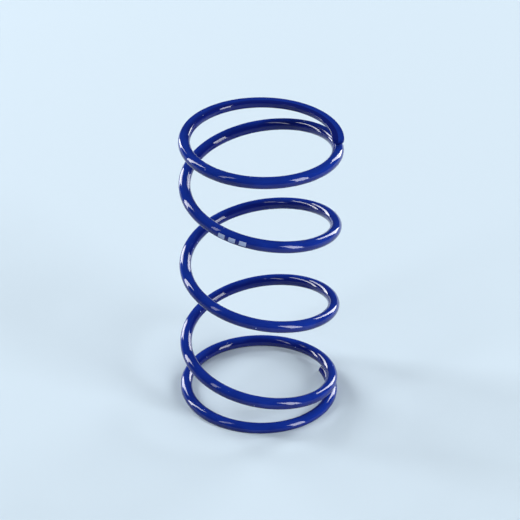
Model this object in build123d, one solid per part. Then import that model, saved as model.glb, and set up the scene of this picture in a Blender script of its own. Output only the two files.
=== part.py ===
from build123d import *
import os
from math import cos, pi, sin, sqrt

# Helical compression spring of coated round wire, with closed and ground ends, wound left-hand.
#
# It stands on its lower ground face at z = 0, with its axis on Z. The wire starts at the upper
# tip, on +X, and runs down anticlockwise as seen from above, which is a left-hand helix. Places
# along the wire are counted in turns from the upper tip. Each end is closed: the first part of
# a turn is wound at a low pitch, so that its tip comes to rest on the next turn, and the pitch
# then rises smoothly to that of the active turns. The closed end is then ground square to the
# axis, through half of the wire at the tip and running out where the wire leaves the face.

# Driving dimensions, in mm
steel_diameter = 4.25       # drawn spring wire before coating
coating_thickness = 0.075   # enamel, the same all round the wire
mean_diameter = 56.0        # helix through the middle of the wire
free_length = 111.5         # unloaded, from one ground face to the other
tip_thickness = 2.25        # height of wire that the grinding leaves at each tip
tip_gap = 0.1               # gap left between each tip and the turn that it closes on
cut_edge_radius = 0.3       # rounding of the wire's sheared ends

# Driving counts, in turns
total_turns = 5.08          # from tip to tip
closed_turns = 0.72         # at each end, wound at the low end pitch
ramp_turns = 0.63           # at each end, where the pitch rises to the active pitch
stations_per_turn = 6       # places where the wire's path lies exactly on the helix

# Sizes that follow
wire_diameter = steel_diameter + 2 * coating_thickness
wire_radius = wire_diameter / 2
mean_radius = mean_diameter / 2
upper_tip_z = free_length - tip_thickness + wire_radius
lower_tip_z = tip_thickness - wire_radius
lower_ramp_start = total_turns - closed_turns - ramp_turns


def rise(share):
    """Smooth step: 0 up to the start of a ramp, 1 from its end."""
    share = min(max(share, 0), 1)
    return share**2 * (3 - 2 * share)


def rise_area(share):
    """Area under the smooth step from the start of the ramp."""
    inside = min(max(share, 0), 1)
    return inside**3 - inside**4 / 2 + max(share - 1, 0)


def openness(turns):
    """How open the coil is at a place along the wire: 0 at the end pitch, 1 at the active pitch."""
    return rise((turns - closed_turns) / ramp_turns) - rise((turns - lower_ramp_start) / ramp_turns)


def open_turns(turns):
    """The openness added up from the upper tip, in turns."""
    upper = rise_area((turns - closed_turns) / ramp_turns)
    lower = rise_area((turns - lower_ramp_start) / ramp_turns)
    return ramp_turns * (upper - lower)


def end_and_active_pitch():
    """The two pitches that close each tip on its neighbour and reach the free length.

    The first turn drops by a wire and the tip gap, and the whole wire drops from tip to tip.
    Both drops are sums of the two pitches, each times the turns wound at it.
    """
    first_drop = wire_diameter + tip_gap
    whole_drop = upper_tip_z - lower_tip_z
    first_open, whole_open = open_turns(1), open_turns(total_turns)
    scale = whole_open - first_open * total_turns
    end = (first_drop * whole_open - whole_drop * first_open) / scale
    active = (whole_drop * (1 - first_open) - first_drop * (total_turns - whole_open)) / scale
    return end, active


end_pitch, active_pitch = end_and_active_pitch()


def centre_at(turns):
    """Middle of the wire at a place along it."""
    angle = 2 * pi * turns
    drop = end_pitch * turns + (active_pitch - end_pitch) * open_turns(turns)
    return Vector(mean_radius * cos(angle), mean_radius * sin(angle), upper_tip_z - drop)


def direction_at(turns):
    """Which way the wire runs at a place along it."""
    angle = 2 * pi * turns
    around = 2 * pi * mean_radius
    pitch = end_pitch + (active_pitch - end_pitch) * openness(turns)
    return Vector(-around * sin(angle), around * cos(angle), -pitch).normalized()


def meeting_point(start, leaving, end, arriving):
    """Where two arcs join smoothly, one leaving start and the other arriving at end."""
    chord = end - start
    both = chord.dot(leaving + arriving)
    spread = 2 * (1 - leaving.dot(arriving))
    reach = (sqrt(both**2 + spread * chord.dot(chord)) - both) / spread
    return (start + end + (leaving - arriving) * reach) * 0.5


def centre_line():
    """The wire's path, as a chain of tangent arcs with two of them from station to station."""
    spans = round(total_turns * stations_per_turn)
    stations = [total_turns * i / spans for i in range(spans + 1)]
    arcs = []
    for here, there in zip(stations, stations[1:]):
        start, leaving = centre_at(here), direction_at(here)
        end, arriving = centre_at(there), direction_at(there)
        middle = meeting_point(start, leaving, end, arriving)
        first = Edge.make_tangent_arc(start, leaving, middle)
        arcs += [first, Edge.make_tangent_arc(middle, first % 1, end)]
    return Wire(arcs)


def wound_wire():
    """The coiled wire as it leaves the winding machine, sheared square at both tips."""
    path = centre_line()
    section = Plane(origin=path @ 0, z_dir=path % 0) * Circle(wire_radius)
    wire = sweep(section, path=path)
    sheared_edges = wire.faces().filter_by(GeomType.PLANE).edges()
    return fillet(sheared_edges, cut_edge_radius)


def ground_spring():
    """The wound wire with both ends ground flat, square to the axis."""
    between_wheels = Cylinder(
        radius=mean_radius + wire_diameter,
        height=free_length,
        align=(Align.CENTER, Align.CENTER, Align.MIN),
    )
    return wound_wire() & between_wheels


os.makedirs("parts", exist_ok=True)
spring = ground_spring()
spring.label = "spring"
export_step(spring, "parts/spring.step")
print(f"end pitch {end_pitch:.3f} mm, active pitch {active_pitch:.3f} mm")
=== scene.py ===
"""A helical compression spring of enamelled wire, standing on a pale studio floor.

The spring is one piece of wire with closed and ground ends. It is wound here from the same few
sizes as its solid, with the fine rounding that enamel leaves on its ground faces and cut ends.
Lengths are in metres, and places along the wire are in turns or metres from the upper tip.
"""
from math import cos, pi, radians, sin, tan

import bpy
import numpy as np
from mathutils import Matrix, Vector


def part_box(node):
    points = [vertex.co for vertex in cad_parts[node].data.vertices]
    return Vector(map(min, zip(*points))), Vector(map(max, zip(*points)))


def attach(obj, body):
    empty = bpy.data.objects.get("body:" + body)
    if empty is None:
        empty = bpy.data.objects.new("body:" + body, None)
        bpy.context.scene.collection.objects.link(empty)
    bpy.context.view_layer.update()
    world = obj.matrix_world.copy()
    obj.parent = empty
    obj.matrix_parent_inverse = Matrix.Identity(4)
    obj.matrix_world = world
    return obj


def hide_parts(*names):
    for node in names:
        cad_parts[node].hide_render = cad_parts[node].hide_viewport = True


bl_info = {
    "name": "Compression Spring",
    "version": (1, 0, 0),
    "blender": (4, 5, 0),
    "location": "View3D > Sidebar > Spring",
    "description": "Winds an enamelled compression spring and sets up a plain studio for it",
    "category": "Add Mesh",
}

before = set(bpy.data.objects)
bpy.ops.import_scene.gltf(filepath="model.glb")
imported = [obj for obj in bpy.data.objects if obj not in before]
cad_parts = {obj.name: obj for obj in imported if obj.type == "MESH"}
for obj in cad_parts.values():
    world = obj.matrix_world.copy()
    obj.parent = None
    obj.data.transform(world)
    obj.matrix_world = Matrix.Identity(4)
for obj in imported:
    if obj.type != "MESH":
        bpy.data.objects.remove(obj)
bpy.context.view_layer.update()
spring_low, spring_high = (Vector(corner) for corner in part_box("spring"))

MM = 0.001
WIRE_DIAMETER = 4.4 * MM
ROWS_PER_TURN = 120
POINTS_AROUND = 128


def linear(colour):
    """A hex sRGB colour as linear red, green and blue."""
    parts = [int(colour[i:i + 2], 16) / 255 for i in (1, 3, 5)]
    return tuple(p / 12.92 if p <= 0.04045 else ((p + 0.055) / 1.055) ** 2.4 for p in parts)


# ---------------------------------------------------------------- sizes and colours


class SpringSizes(bpy.types.PropertyGroup):
    """The spring's own sizes."""

    wire_diameter: bpy.props.FloatProperty(
        name="Wire diameter", description="Wire over its enamel",
        default=WIRE_DIAMETER, unit="LENGTH")
    mean_diameter: bpy.props.FloatProperty(
        name="Mean diameter", description="Diameter of the helix through the middle of the wire",
        default=round(spring_high.x - spring_low.x, 4) - WIRE_DIAMETER, unit="LENGTH")
    free_length: bpy.props.FloatProperty(
        name="Free length", description="Height from one ground face to the other",
        default=spring_high.z - spring_low.z, unit="LENGTH")
    tip_thickness: bpy.props.FloatProperty(
        name="Tip thickness", description="Height of wire that the grinding leaves at each tip",
        default=2.25 * MM, unit="LENGTH")
    tip_gap: bpy.props.FloatProperty(
        name="Tip gap", description="Gap between each tip and the turn that it closes on",
        default=0.1 * MM, unit="LENGTH")
    face_edge_radius: bpy.props.FloatProperty(
        name="Face edge radius", description="Rounding of the ground faces' edges under the enamel",
        default=0.16 * MM, unit="LENGTH")
    cut_edge_radius: bpy.props.FloatProperty(
        name="Cut edge radius", description="Rounding of the sheared ends of the wire",
        default=0.3 * MM, unit="LENGTH")
    total_turns: bpy.props.FloatProperty(
        name="Total turns", description="Turns of wire from tip to tip", default=5.08)
    closed_turns: bpy.props.FloatProperty(
        name="Closed turns", description="Turns at each end wound at the low end pitch",
        default=0.72)
    ramp_turns: bpy.props.FloatProperty(
        name="Ramp turns", description="Turns at each end where the pitch rises", default=0.63)


class EnamelLook(bpy.types.PropertyGroup):
    """The finish of the wire."""

    # Base enamel colour. The wire's lower side keeps it as painted shade, below the painted top
    # light.
    colour: bpy.props.FloatVectorProperty(
        name="Enamel colour", description="Colour of the enamel where it is thick",
        subtype="COLOR", default=linear("#0b1762"))
    # Painted light: a lighter blue painted on the wire's upper outer side, where light from above
    # falls.
    painted_top_light_colour: bpy.props.FloatVectorProperty(
        name="Thin enamel colour", description="Colour of the enamel where it is thin",
        subtype="COLOR", default=linear("#122c86"))
    speck_colour: bpy.props.FloatVectorProperty(
        name="Speck colour", description="Colour of the specks of dust baked into the enamel",
        subtype="COLOR", default=linear("#8d9dd0"))
    mark_colour: bpy.props.FloatVectorProperty(
        name="Mark colour", description="Colour of the three plain bars printed on the wire",
        subtype="COLOR", default=linear("#95a3c6"))
    mark_turns: bpy.props.FloatProperty(
        name="Mark place", description="Turns from the upper tip to the middle of the bars",
        default=1.701)
    mark_round: bpy.props.FloatProperty(
        name="Mark height", description="Distance round the wire, from its top to the bars' middle",
        default=3.4 * MM, unit="LENGTH")
    roughness: bpy.props.FloatProperty(
        name="Roughness", description="Roughness of the enamel's gloss",
        default=0.02, min=0, max=1, subtype="FACTOR")
    ripple: bpy.props.FloatProperty(
        name="Ripple spacing", description="Spacing of the orange peel in the enamel",
        default=1.6 * MM, unit="LENGTH")


class StudioSet(bpy.types.PropertyGroup):
    """The floor, the lamps and the camera."""

    floor_colour: bpy.props.FloatVectorProperty(
        name="Floor colour", description="Colour of the paper that the spring stands on",
        subtype="COLOR", default=linear("#c4d4e0"))
    floor_glow: bpy.props.FloatProperty(
        name="Floor glow", description="Light that comes through the paper from below",
        default=0.02, min=0, max=1, subtype="FACTOR")
    lamp_distance: bpy.props.FloatProperty(
        name="Lamp distance", description="From the middle of the spring to each lamp",
        default=1.8, unit="LENGTH")
    air_light: bpy.props.FloatProperty(
        name="Air light", description="Brightness of the dim room round the lamps", default=0.05)
    camera_turn: bpy.props.FloatProperty(
        name="Camera turn", description="How far the camera stands round from the front",
        default=radians(2.4), subtype="ANGLE")
    camera_height: bpy.props.FloatProperty(
        name="Camera height", description="Angle at which the camera looks down",
        default=radians(32.93), subtype="ANGLE")
    camera_roll: bpy.props.FloatProperty(
        name="Camera roll", description="How far the camera leans to its left",
        default=radians(0.5), subtype="ANGLE")
    camera_distance: bpy.props.FloatProperty(
        name="Camera distance", description="From the camera to the middle of the spring",
        default=0.955, unit="LENGTH")
    camera_shift: bpy.props.FloatProperty(
        name="Camera shift", description="How far the picture is shifted up, in picture widths",
        default=0.0123)
    lens: bpy.props.FloatProperty(
        name="Lens", description="Focal length on a 36 mm wide sensor",
        default=176.4, unit="CAMERA")


# ---------------------------------------------------------------- the wire's path and section


def rise(share):
    """Smooth step: 3x^2 - 2x^3 between 0 and 1, and level outside them."""
    share = np.clip(share, 0, 1)
    return share**2 * (3 - 2 * share)


def rise_area(share):
    """Area under the smooth step: x^3 - x^4/2, and one more for each unit past 1."""
    inside = np.clip(share, 0, 1)
    return inside**3 - inside**4 / 2 + np.maximum(share - 1, 0)


class Winding:
    """The wire's path, worked out from the spring's sizes.

    The wire starts at the upper tip, on +X, and winds down anticlockwise as seen from above. Its
    pitch is a low end pitch over the closed turns, an active pitch between them, and a smooth
    step from one to the other over each ramp.
    """

    def __init__(self, sizes):
        self.radius = sizes.mean_diameter / 2
        self.wire_radius = sizes.wire_diameter / 2
        self.turns = sizes.total_turns
        self.closed = sizes.closed_turns
        self.ramp = sizes.ramp_turns
        self.top = sizes.free_length - sizes.tip_thickness + self.wire_radius
        drop = sizes.free_length + sizes.wire_diameter - 2 * sizes.tip_thickness
        first_drop = sizes.wire_diameter + sizes.tip_gap
        first, whole = self.open_turns(1.0), self.open_turns(self.turns)
        scale = whole - first * self.turns
        self.end_pitch = (first_drop * whole - drop * first) / scale
        self.active_pitch = (drop * (1 - first) - first_drop * (self.turns - whole)) / scale
        self.turn_length = 2 * pi * self.radius

    def ramps(self, step, turns):
        """A step function of the upper ramp less that of the lower one."""
        lower_start = self.turns - self.closed - self.ramp
        return step((turns - self.closed) / self.ramp) - step((turns - lower_start) / self.ramp)

    def open_turns(self, turns):
        """How many turns' worth of active pitch the wire has wound: the area under its ramps."""
        return self.ramp * self.ramps(rise_area, turns)

    def height(self, turns):
        """Height of the middle of the wire: the top less end pitch and the opened pitch."""
        opened = (self.active_pitch - self.end_pitch) * self.open_turns(turns)
        return self.top - self.end_pitch * turns - opened

    def place(self, turns):
        """The wire's middle, and its outward, upward and forward directions.

        The middle is (R cos a, R sin a, height) at angle a of 2 pi a turn. Outward is (cos a,
        sin a, 0), forward is the path's own direction, and upward is outward x forward.
        """
        angle = 2 * pi * turns
        pitch = self.end_pitch + (self.active_pitch - self.end_pitch) * self.ramps(rise, turns)
        nought = np.zeros_like(turns)
        middle = np.stack([self.radius * np.cos(angle), self.radius * np.sin(angle),
                           self.height(turns)], axis=-1)
        outward = np.stack([np.cos(angle), np.sin(angle), nought], axis=-1)
        forward = np.stack([-self.turn_length * np.sin(angle), self.turn_length * np.cos(angle),
                            -pitch], axis=-1)
        forward /= np.linalg.norm(forward, axis=-1, keepdims=True)
        return middle, outward, np.cross(outward, forward), forward


def corner(radius, height, edge):
    """Half-width of a flat at that height in a circle, and the angle of its rounding.

    The rounding of radius edge touches both the flat and the circle, so its middle lies at
    height - edge, and at radius - edge from the circle's middle.
    """
    rise_of_middle = height - edge
    half_width = np.sqrt(np.maximum((radius - edge)**2 - rise_of_middle**2, 0))
    return half_width, np.arctan2(half_width, rise_of_middle)


def section_point(share, radius, above, below, edge):
    """A point on half the outline of a round wire, ground flat above and below.

    The half outline runs from the middle of the top to the middle of the bottom: half a flat,
    its rounding, the wire's own arc, the lower rounding and half the lower flat. The point lies
    the given share of its length along it. It is given as its distance out, its height up and
    its way along the outline.
    """
    above, below = np.minimum(above, radius), np.minimum(below, radius)
    top_flat, top_angle = corner(radius, above, edge)
    low_flat, low_angle = corner(radius, below, edge)
    lengths = [top_flat, edge * top_angle, radius * (pi - top_angle - low_angle),
               edge * low_angle, low_flat]
    ends = np.cumsum(np.stack(np.broadcast_arrays(*lengths)), axis=0)
    way = share * ends[-1]
    top_turn = (way - ends[0]) / edge
    arc_turn = top_angle + (way - ends[1]) / radius
    low_turn = low_angle - (way - ends[2]) / edge
    stretch = [way < ends[0], way < ends[1], way < ends[2], way < ends[3]]
    out = np.select(stretch, [way, top_flat + edge * np.sin(top_turn), radius * np.sin(arc_turn),
                              low_flat + edge * np.sin(low_turn)], ends[-1] - way)
    up = np.select(stretch, [above + 0 * way, above - edge + edge * np.cos(top_turn),
                             radius * np.cos(arc_turn), edge - below - edge * np.cos(low_turn)],
                   -below + 0 * way)
    return out, up, way


def wire_rows(winding, cut_edge):
    """Rows of the wire's surface as (turns, inset, spread).

    Each cut end has rows on its flat, which spread from its middle to its rounding, and rows on
    the rounding, whose inset shrinks as a quarter circle. Rows of the plain wire lie between.
    """
    flat_spread = np.array([0.25, 0.5, 0.75, 0.92])
    quarter = np.linspace(0, pi / 2, 7)
    rounding = cut_edge * (1 - np.cos(quarter)) / winding.turn_length
    inset = cut_edge * (1 - np.sin(quarter))
    plain = int(round(winding.turns * ROWS_PER_TURN))
    middle = np.linspace(rounding[-1], winding.turns - rounding[-1], plain + 1)[1:-1]
    tip_turns = np.concatenate([np.zeros(flat_spread.size), rounding])
    tip_inset = np.concatenate([np.full(flat_spread.size, cut_edge), inset])
    tip_spread = np.concatenate([flat_spread, np.ones(quarter.size)])
    turns = np.concatenate([tip_turns, middle, (winding.turns - tip_turns)[::-1]])
    inset = np.concatenate([tip_inset, 0 * middle, tip_inset[::-1]])
    spread = np.concatenate([tip_spread, 0 * middle + 1, tip_spread[::-1]])
    return turns, inset, spread


def wire_surface(sizes):
    """Points of the wire's surface, on a grid of rows along it and columns around it.

    Each row is the wire's section, ground at the spring's two end planes, set square to the
    path: middle + out * outward + up * upward. Returned with it are each point's distance along
    the wire and around it, and the middles of the two cut ends.
    """
    winding = Winding(sizes)
    turns, inset, spread = (row[:, None] for row in wire_rows(winding, sizes.cut_edge_radius))
    middle, outward, upward, _ = winding.place(turns[:, 0])
    lean = upward[:, 2:3]
    above = (sizes.free_length - middle[:, 2:3]) / lean - inset
    below = middle[:, 2:3] / lean - inset
    radius = winding.wire_radius - inset
    around = np.linspace(0, 1, POINTS_AROUND + 1)[None, :]
    share = 1 - np.abs(1 - 2 * around)
    side = np.where(around <= 0.5, 1, -1)
    out, up, way = section_point(share, radius, above, below, sizes.face_edge_radius)
    centre_up = (np.minimum(above, radius) - np.minimum(below, radius)) / 2
    out = side * out * spread
    up = centre_up + (up - centre_up) * spread
    points = middle[:, None] + out[..., None] * outward[:, None] + up[..., None] * upward[:, None]
    along = np.broadcast_to(turns * winding.turn_length, out.shape)
    round_way = np.where(side > 0, way, 2 * way[:, POINTS_AROUND // 2][:, None] - way)
    tips = middle[[0, -1]] + centre_up[[0, -1]] * upward[[0, -1]]
    return points, along, round_way, tips


def mesh_of_grid(name, points, along, around, tips):
    """A closed mesh of a grid that wraps round its columns, with a fan at each end.

    The last column repeats the first, so it only lends its place on the UV map.
    """
    rows, columns = points.shape[0], points.shape[1] - 1
    here = np.arange(rows - 1)[:, None] * columns + np.arange(columns)[None, :]
    beside = np.arange(rows - 1)[:, None] * columns + (np.arange(columns)[None, :] + 1) % columns
    quads = np.stack([here, beside, beside + columns, here + columns], axis=-1).reshape(-1, 4)
    first, last = rows * columns, rows * columns + 1
    ring = np.arange(columns)
    after = (ring + 1) % columns
    base = (rows - 1) * columns
    fans = np.concatenate([
        np.stack([np.full(columns, first), after, ring], axis=-1),
        np.stack([np.full(columns, last), base + ring, base + after], axis=-1)])
    corners = np.concatenate([quads.ravel(), fans.ravel()]).astype(np.int32)
    sizes = np.concatenate([np.full(len(quads), 4), np.full(len(fans), 3)])
    starts = np.concatenate([[0], np.cumsum(sizes)[:-1]]).astype(np.int32)

    mesh = bpy.data.meshes.new(name)
    mesh.vertices.add(rows * columns + 2)
    vertices = np.concatenate([points[:, :-1].reshape(-1, 3), tips])
    mesh.vertices.foreach_set("co", vertices.astype(np.float32).ravel())
    mesh.loops.add(len(corners))
    mesh.loops.foreach_set("vertex_index", corners)
    mesh.polygons.add(len(starts))
    mesh.polygons.foreach_set("loop_start", starts)
    mesh.polygons.foreach_set("use_smooth", np.ones(len(starts), dtype=bool))

    place = np.stack([along, around], axis=-1)
    quad_places = np.stack([place[:-1, :-1], place[:-1, 1:], place[1:, 1:], place[1:, :-1]], axis=2)
    first_fan = np.stack([place[0, :-1] * [1, 0], place[0, 1:], place[0, :-1]], axis=1)
    last_fan = np.stack([place[-1, :-1] * [1, 0], place[-1, :-1], place[-1, 1:]], axis=1)
    uv = np.concatenate([quad_places.reshape(-1, 2), first_fan.reshape(-1, 2),
                         last_fan.reshape(-1, 2)])
    layer = mesh.uv_layers.new(name="along_and_around")
    layer.data.foreach_set("uv", uv.astype(np.float32).ravel())
    mesh.update(calc_edges=True)
    mesh.validate()
    return mesh


# ---------------------------------------------------------------- materials


def add_node(tree, kind, inputs=None, **settings):
    """Adds a node of that kind, with its settings, and its inputs as values or links."""
    node = tree.nodes.new(kind)
    for name, value in settings.items():
        setattr(node, name, value)
    for name, value in (inputs or {}).items():
        if isinstance(value, bpy.types.NodeSocket):
            tree.links.new(value, node.inputs[name])
        else:
            node.inputs[name].default_value = value
    return node


def new_material(name):
    """An empty node material, and its tree."""
    material = bpy.data.materials.new(name)
    material.use_nodes = True
    material.node_tree.nodes.clear()
    return material, material.node_tree


def along_and_around(tree):
    """Distance along the wire from the upper tip, and round it from its top, in metres."""
    place = add_node(tree, "ShaderNodeSeparateXYZ",
                     {"Vector": add_node(tree, "ShaderNodeTexCoord").outputs["UV"]})
    return place.outputs["X"], place.outputs["Y"]


def bars(tree, look, sizes, pitch=3.8 * MM, width=2.4 * MM, length=1.9 * MM, count=3):
    """1 on a row of plain printed bars on the wire's outer side, and 0 elsewhere.

    Distance along the wire is wrapped to one pitch, and each bar is the part near its middle,
    within the row's whole length and within the bars' length round the wire.
    """
    middle = look.mark_turns * pi * sizes.mean_diameter
    start = middle - count * pitch / 2
    along, around = along_and_around(tree)
    offset = add_node(tree, "ShaderNodeMath", {0: along, 1: start}, operation="SUBTRACT")
    wrapped = add_node(tree, "ShaderNodeMath", {0: offset.outputs["Value"], 1: pitch},
                       operation="FLOORED_MODULO").outputs["Value"]
    in_bar, in_row, in_height = (
        add_node(tree, "ShaderNodeMath", {0: value, 1: centre, 2: reach},
                 operation="COMPARE").outputs["Value"]
        for value, centre, reach in ((wrapped, pitch / 2, width / 2),
                                     (along, middle, count * pitch / 2),
                                     (around, look.mark_round, length / 2)))
    pair = add_node(tree, "ShaderNodeMath", {0: in_bar, 1: in_row}, operation="MULTIPLY")
    return add_node(tree, "ShaderNodeMath", {0: pair.outputs["Value"], 1: in_height},
                    operation="MULTIPLY").outputs["Value"]


def specks(tree, where, spacing=4 * MM, radius=0.2 * MM):
    """1 within a radius of points scattered at about that spacing, and 0 elsewhere."""
    distance = add_node(tree, "ShaderNodeTexVoronoi",
                        {"Vector": where, "Scale": 1 / spacing}).outputs["Distance"]
    return add_node(tree, "ShaderNodeMath", {0: distance, 1: radius / spacing},
                    operation="LESS_THAN").outputs["Value"]


def painted_top_light(tree, where, sizes, lightest_angle=0.4, patch=9 * MM):
    """Painted light and shade: 1 on the wire's upper outer side, which is painted lighter where
    light from above falls, and 0 below, which is left dark as painted shade.

    The angle round the wire from its top is the distance round over the wire's radius. The
    cosine of the angle from the lightest line, which lies 0.4 radians outside the top, is 1 there
    and -1 opposite it. A slow noise, whose patches are a few millimetres across, is added to it
    and shifts the line between light and dark at random.
    """
    angle = add_node(tree, "ShaderNodeMath",
                     {0: along_and_around(tree)[1], 1: sizes.wire_diameter / 2},
                     operation="DIVIDE").outputs["Value"]
    turned = add_node(tree, "ShaderNodeMath", {0: angle, 1: lightest_angle}, operation="SUBTRACT")
    upper = add_node(tree, "ShaderNodeMath", {0: turned.outputs["Value"]},
                     operation="COSINE").outputs["Value"]
    patches = add_node(tree, "ShaderNodeTexNoise",
                       {"Vector": where, "Scale": 1 / patch, "Detail": 2.0}).outputs["Fac"]
    shifted = add_node(tree, "ShaderNodeMath", {0: upper, 1: patches}, operation="ADD")
    return add_node(tree, "ShaderNodeMapRange",
                    {"Value": shifted.outputs["Value"], "From Min": 0.75,
                     "From Max": 1.5}).outputs["Result"]


def baked_blue_enamel(look, sizes):
    """Gloss stoving enamel on spring steel.

    Dipped and baked enamel is a thick, hard, dark coat: it shows deep blue, with a sharp white
    reflection of every lamp. Its upper outer side is painted a lighter blue as painted light from
    above, and its lower side keeps the dark blue as painted shade. Its faint orange peel makes those
    reflections waver, and a little dust is baked into it. Over it lie the printed bars.
    """
    material, tree = new_material("baked_blue_enamel")
    where = add_node(tree, "ShaderNodeTexCoord").outputs["Object"]
    colour = (*look.colour, 1)
    # The first mix paints the lighter blue on the wire's upper outer side as painted light and
    # leaves the lower side dark as painted shade. The specks are dust, and the bars are print.
    for cover, over in ((painted_top_light(tree, where, sizes), look.painted_top_light_colour),
                        (specks(tree, where), look.speck_colour),
                        (bars(tree, look, sizes), look.mark_colour)):
        colour = add_node(tree, "ShaderNodeMix", {"Factor": cover, "A": colour, "B": (*over, 1)},
                          data_type="RGBA").outputs["Result"]
    peel = add_node(tree, "ShaderNodeTexNoise",
                    {"Vector": where, "Scale": 1 / look.ripple, "Detail": 1.0}).outputs["Fac"]
    bump = add_node(tree, "ShaderNodeBump",
                    {"Height": peel, "Strength": 0.04, "Distance": 0.05 * MM})
    surface = add_node(tree, "ShaderNodeBsdfPrincipled",
                       {"Base Color": colour, "Roughness": look.roughness,
                        "IOR": 1.38, "Normal": bump.outputs["Normal"]})
    add_node(tree, "ShaderNodeOutputMaterial", {"Surface": surface.outputs["BSDF"]})
    return material


def matt_paper(studio):
    """Matt pale backdrop paper, uncoated, so it has no gloss of its own.

    A little light comes through it from below, seen by the camera and in what mirrors the paper.
    """
    material, tree = new_material("matt_paper")
    colour = (*studio.floor_colour, 1)
    surface = add_node(tree, "ShaderNodeBsdfPrincipled",
                       {"Base Color": colour, "Roughness": 0.9, "IOR": 1.3})
    path = add_node(tree, "ShaderNodeLightPath").outputs
    direct = add_node(tree, "ShaderNodeMath",
                      {0: path["Is Camera Ray"], 1: path["Is Glossy Ray"]}, operation="ADD")
    seen = add_node(tree, "ShaderNodeMath",
                    {0: direct.outputs["Value"], 1: path["Is Transmission Ray"]}, operation="ADD")
    glow = add_node(tree, "ShaderNodeMath",
                    {0: seen.outputs["Value"], 1: studio.floor_glow}, operation="MULTIPLY")
    through = add_node(tree, "ShaderNodeEmission",
                       {"Color": colour, "Strength": glow.outputs["Value"]})
    both = add_node(tree, "ShaderNodeAddShader",
                    {0: surface.outputs["BSDF"], 1: through.outputs["Emission"]})
    add_node(tree, "ShaderNodeOutputMaterial", {"Surface": both.outputs["Shader"]})
    return material


# ---------------------------------------------------------------- the pieces


def put_in_scene(name, data):
    """A new object in the scene, at the origin."""
    piece = bpy.data.objects.new(name, data)
    bpy.context.scene.collection.objects.link(piece)
    return piece


class SPRING_OT_wind(bpy.types.Operator):
    """Wind the wire into the spring, grind its ends and enamel it"""

    bl_idname = "spring.wind"
    bl_label = "Wind Spring"

    def execute(self, context):
        sizes = context.scene.spring_sizes
        mesh = mesh_of_grid("enamelled_spring", *wire_surface(sizes))
        spring = put_in_scene("enamelled_spring", mesh)
        mesh.materials.append(baked_blue_enamel(context.scene.enamel_look, sizes))
        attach(spring, "root")
        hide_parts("spring")
        return {"FINISHED"}


def floor_of(studio, size=6.0):
    """A square of paper, level with the spring's lower ground face."""
    mesh = bpy.data.meshes.new("floor")
    half = size / 2
    corners = [(-half, -half, 0), (half, -half, 0), (half, half, 0), (-half, half, 0)]
    mesh.from_pydata(corners, [], [(0, 1, 2, 3)])
    mesh.materials.append(matt_paper(studio))
    floor = put_in_scene("floor", mesh)


def softbox(name, turn, height, wide, high, light, distance):
    """A rectangular lamp that faces the middle of the spring.

    It stands at an angle of turn from the back of the spring towards its right, and its middle
    is at the elevation height. Wide and high are the angles that it covers, so its two sides are
    2 d tan(angle / 2) at its distance d. Its power is light x pi x area, which makes its face
    that many times as bright as white paper.
    """
    lamp = bpy.data.lights.new(name, "AREA")
    lamp.shape = "RECTANGLE"
    lamp.size, lamp.size_y = (2 * distance * tan(radians(angle) / 2) for angle in (wide, high))
    lamp.energy = light * pi * lamp.size * lamp.size_y
    holder = put_in_scene(name, lamp)
    turn, height = radians(turn), radians(height)
    away = Vector((sin(turn) * cos(height), cos(turn) * cos(height), sin(height)))
    axes = (-away).to_track_quat("-Z", "Y").to_matrix().to_4x4()
    holder.matrix_world = Matrix.Translation((spring_low + spring_high) / 2 + away * distance) @ axes


def camera_of(studio, target):
    """The camera, on a circle round the target, looking down at it."""
    turn, down = studio.camera_turn, studio.camera_height
    right = Vector((cos(turn), sin(turn), 0))
    forward = Vector((-sin(turn) * cos(down), cos(turn) * cos(down), -sin(down)))
    up = right.cross(forward)
    data = bpy.data.cameras.new("camera")
    data.lens, data.sensor_width = studio.lens, 36
    data.clip_start, data.clip_end = 0.05, 50
    data.shift_y = studio.camera_shift
    camera = put_in_scene("camera", data)
    axes = Matrix((right, up, -forward)).transposed().to_4x4()
    lean = Matrix.Rotation(studio.camera_roll, 4, "Z")
    place = Matrix.Translation(target - forward * studio.camera_distance)
    camera.matrix_world = place @ axes @ lean
    bpy.context.scene.camera = camera


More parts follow.
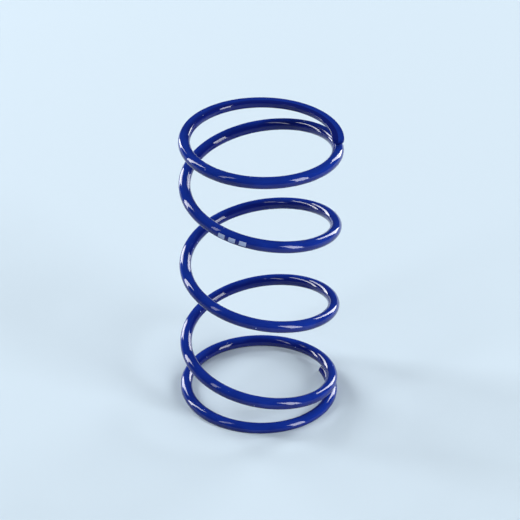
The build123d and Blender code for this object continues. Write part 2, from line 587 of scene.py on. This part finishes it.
class SPRING_OT_set_studio(bpy.types.Operator):
    """Set out the floor, the lamps and the camera"""

    bl_idname = "spring.set_studio"
    bl_label = "Set Studio"

    def execute(self, context):
        scene, studio = context.scene, context.scene.studio_set
        target = (spring_low + spring_high) / 2
        floor_of(studio)
        far = studio.lamp_distance
        # Turn, height, and the width and height covered, in degrees, and the brightness.
        softbox("left_strip", -76, 23, 10, 54, 16, far)
        softbox("back_left_strip", -43, 16, 14, 38, 12, far)
        softbox("back_right_strip", 39, 17, 17, 34, 12, far)
        softbox("right_strip", 121, 19, 19, 44, 14, far)
        softbox("front_left_strip", -129, 43, 8, 40, 6, far)
        camera_of(studio, target)
        world = bpy.data.worlds.new("studio_air")
        world.use_nodes = True
        world.node_tree.nodes.clear()
        air = add_node(world.node_tree, "ShaderNodeBackground",
                       {"Color": (*studio.floor_colour, 1), "Strength": studio.air_light})
        add_node(world.node_tree, "ShaderNodeOutputWorld", {"Surface": air.outputs["Background"]})
        scene.world = world
        scene.view_settings.view_transform = "Standard"
        return {"FINISHED"}


class SPRING_PT_panel(bpy.types.Panel):
    """The spring's sizes, finish and studio"""

    bl_label = "Spring"
    bl_idname = "SPRING_PT_panel"
    bl_space_type = "VIEW_3D"
    bl_region_type = "UI"
    bl_category = "Spring"

    def draw(self, context):
        for name in ("spring_sizes", "enamel_look", "studio_set"):
            group = getattr(context.scene, name)
            box = self.layout.box()
            for key in group.__annotations__:
                box.prop(group, key)
        for operator in OPERATORS:
            self.layout.operator(operator.bl_idname)


OPERATORS = (SPRING_OT_wind, SPRING_OT_set_studio)
CLASSES = (SpringSizes, EnamelLook, StudioSet, *OPERATORS, SPRING_PT_panel)


def register():
    """Adds the classes, and the property groups of the scene."""
    for each in CLASSES:
        bpy.utils.register_class(each)
    bpy.types.Scene.spring_sizes = bpy.props.PointerProperty(type=SpringSizes)
    bpy.types.Scene.enamel_look = bpy.props.PointerProperty(type=EnamelLook)
    bpy.types.Scene.studio_set = bpy.props.PointerProperty(type=StudioSet)


def unregister():
    """Takes them away again."""
    for name in ("spring_sizes", "enamel_look", "studio_set"):
        delattr(bpy.types.Scene, name)
    for each in reversed(CLASSES):
        bpy.utils.unregister_class(each)


def main():
    """Makes the spring and its studio."""
    register()
    bpy.ops.spring.wind()
    bpy.ops.spring.set_studio()


if __name__ == "__main__":
    main()
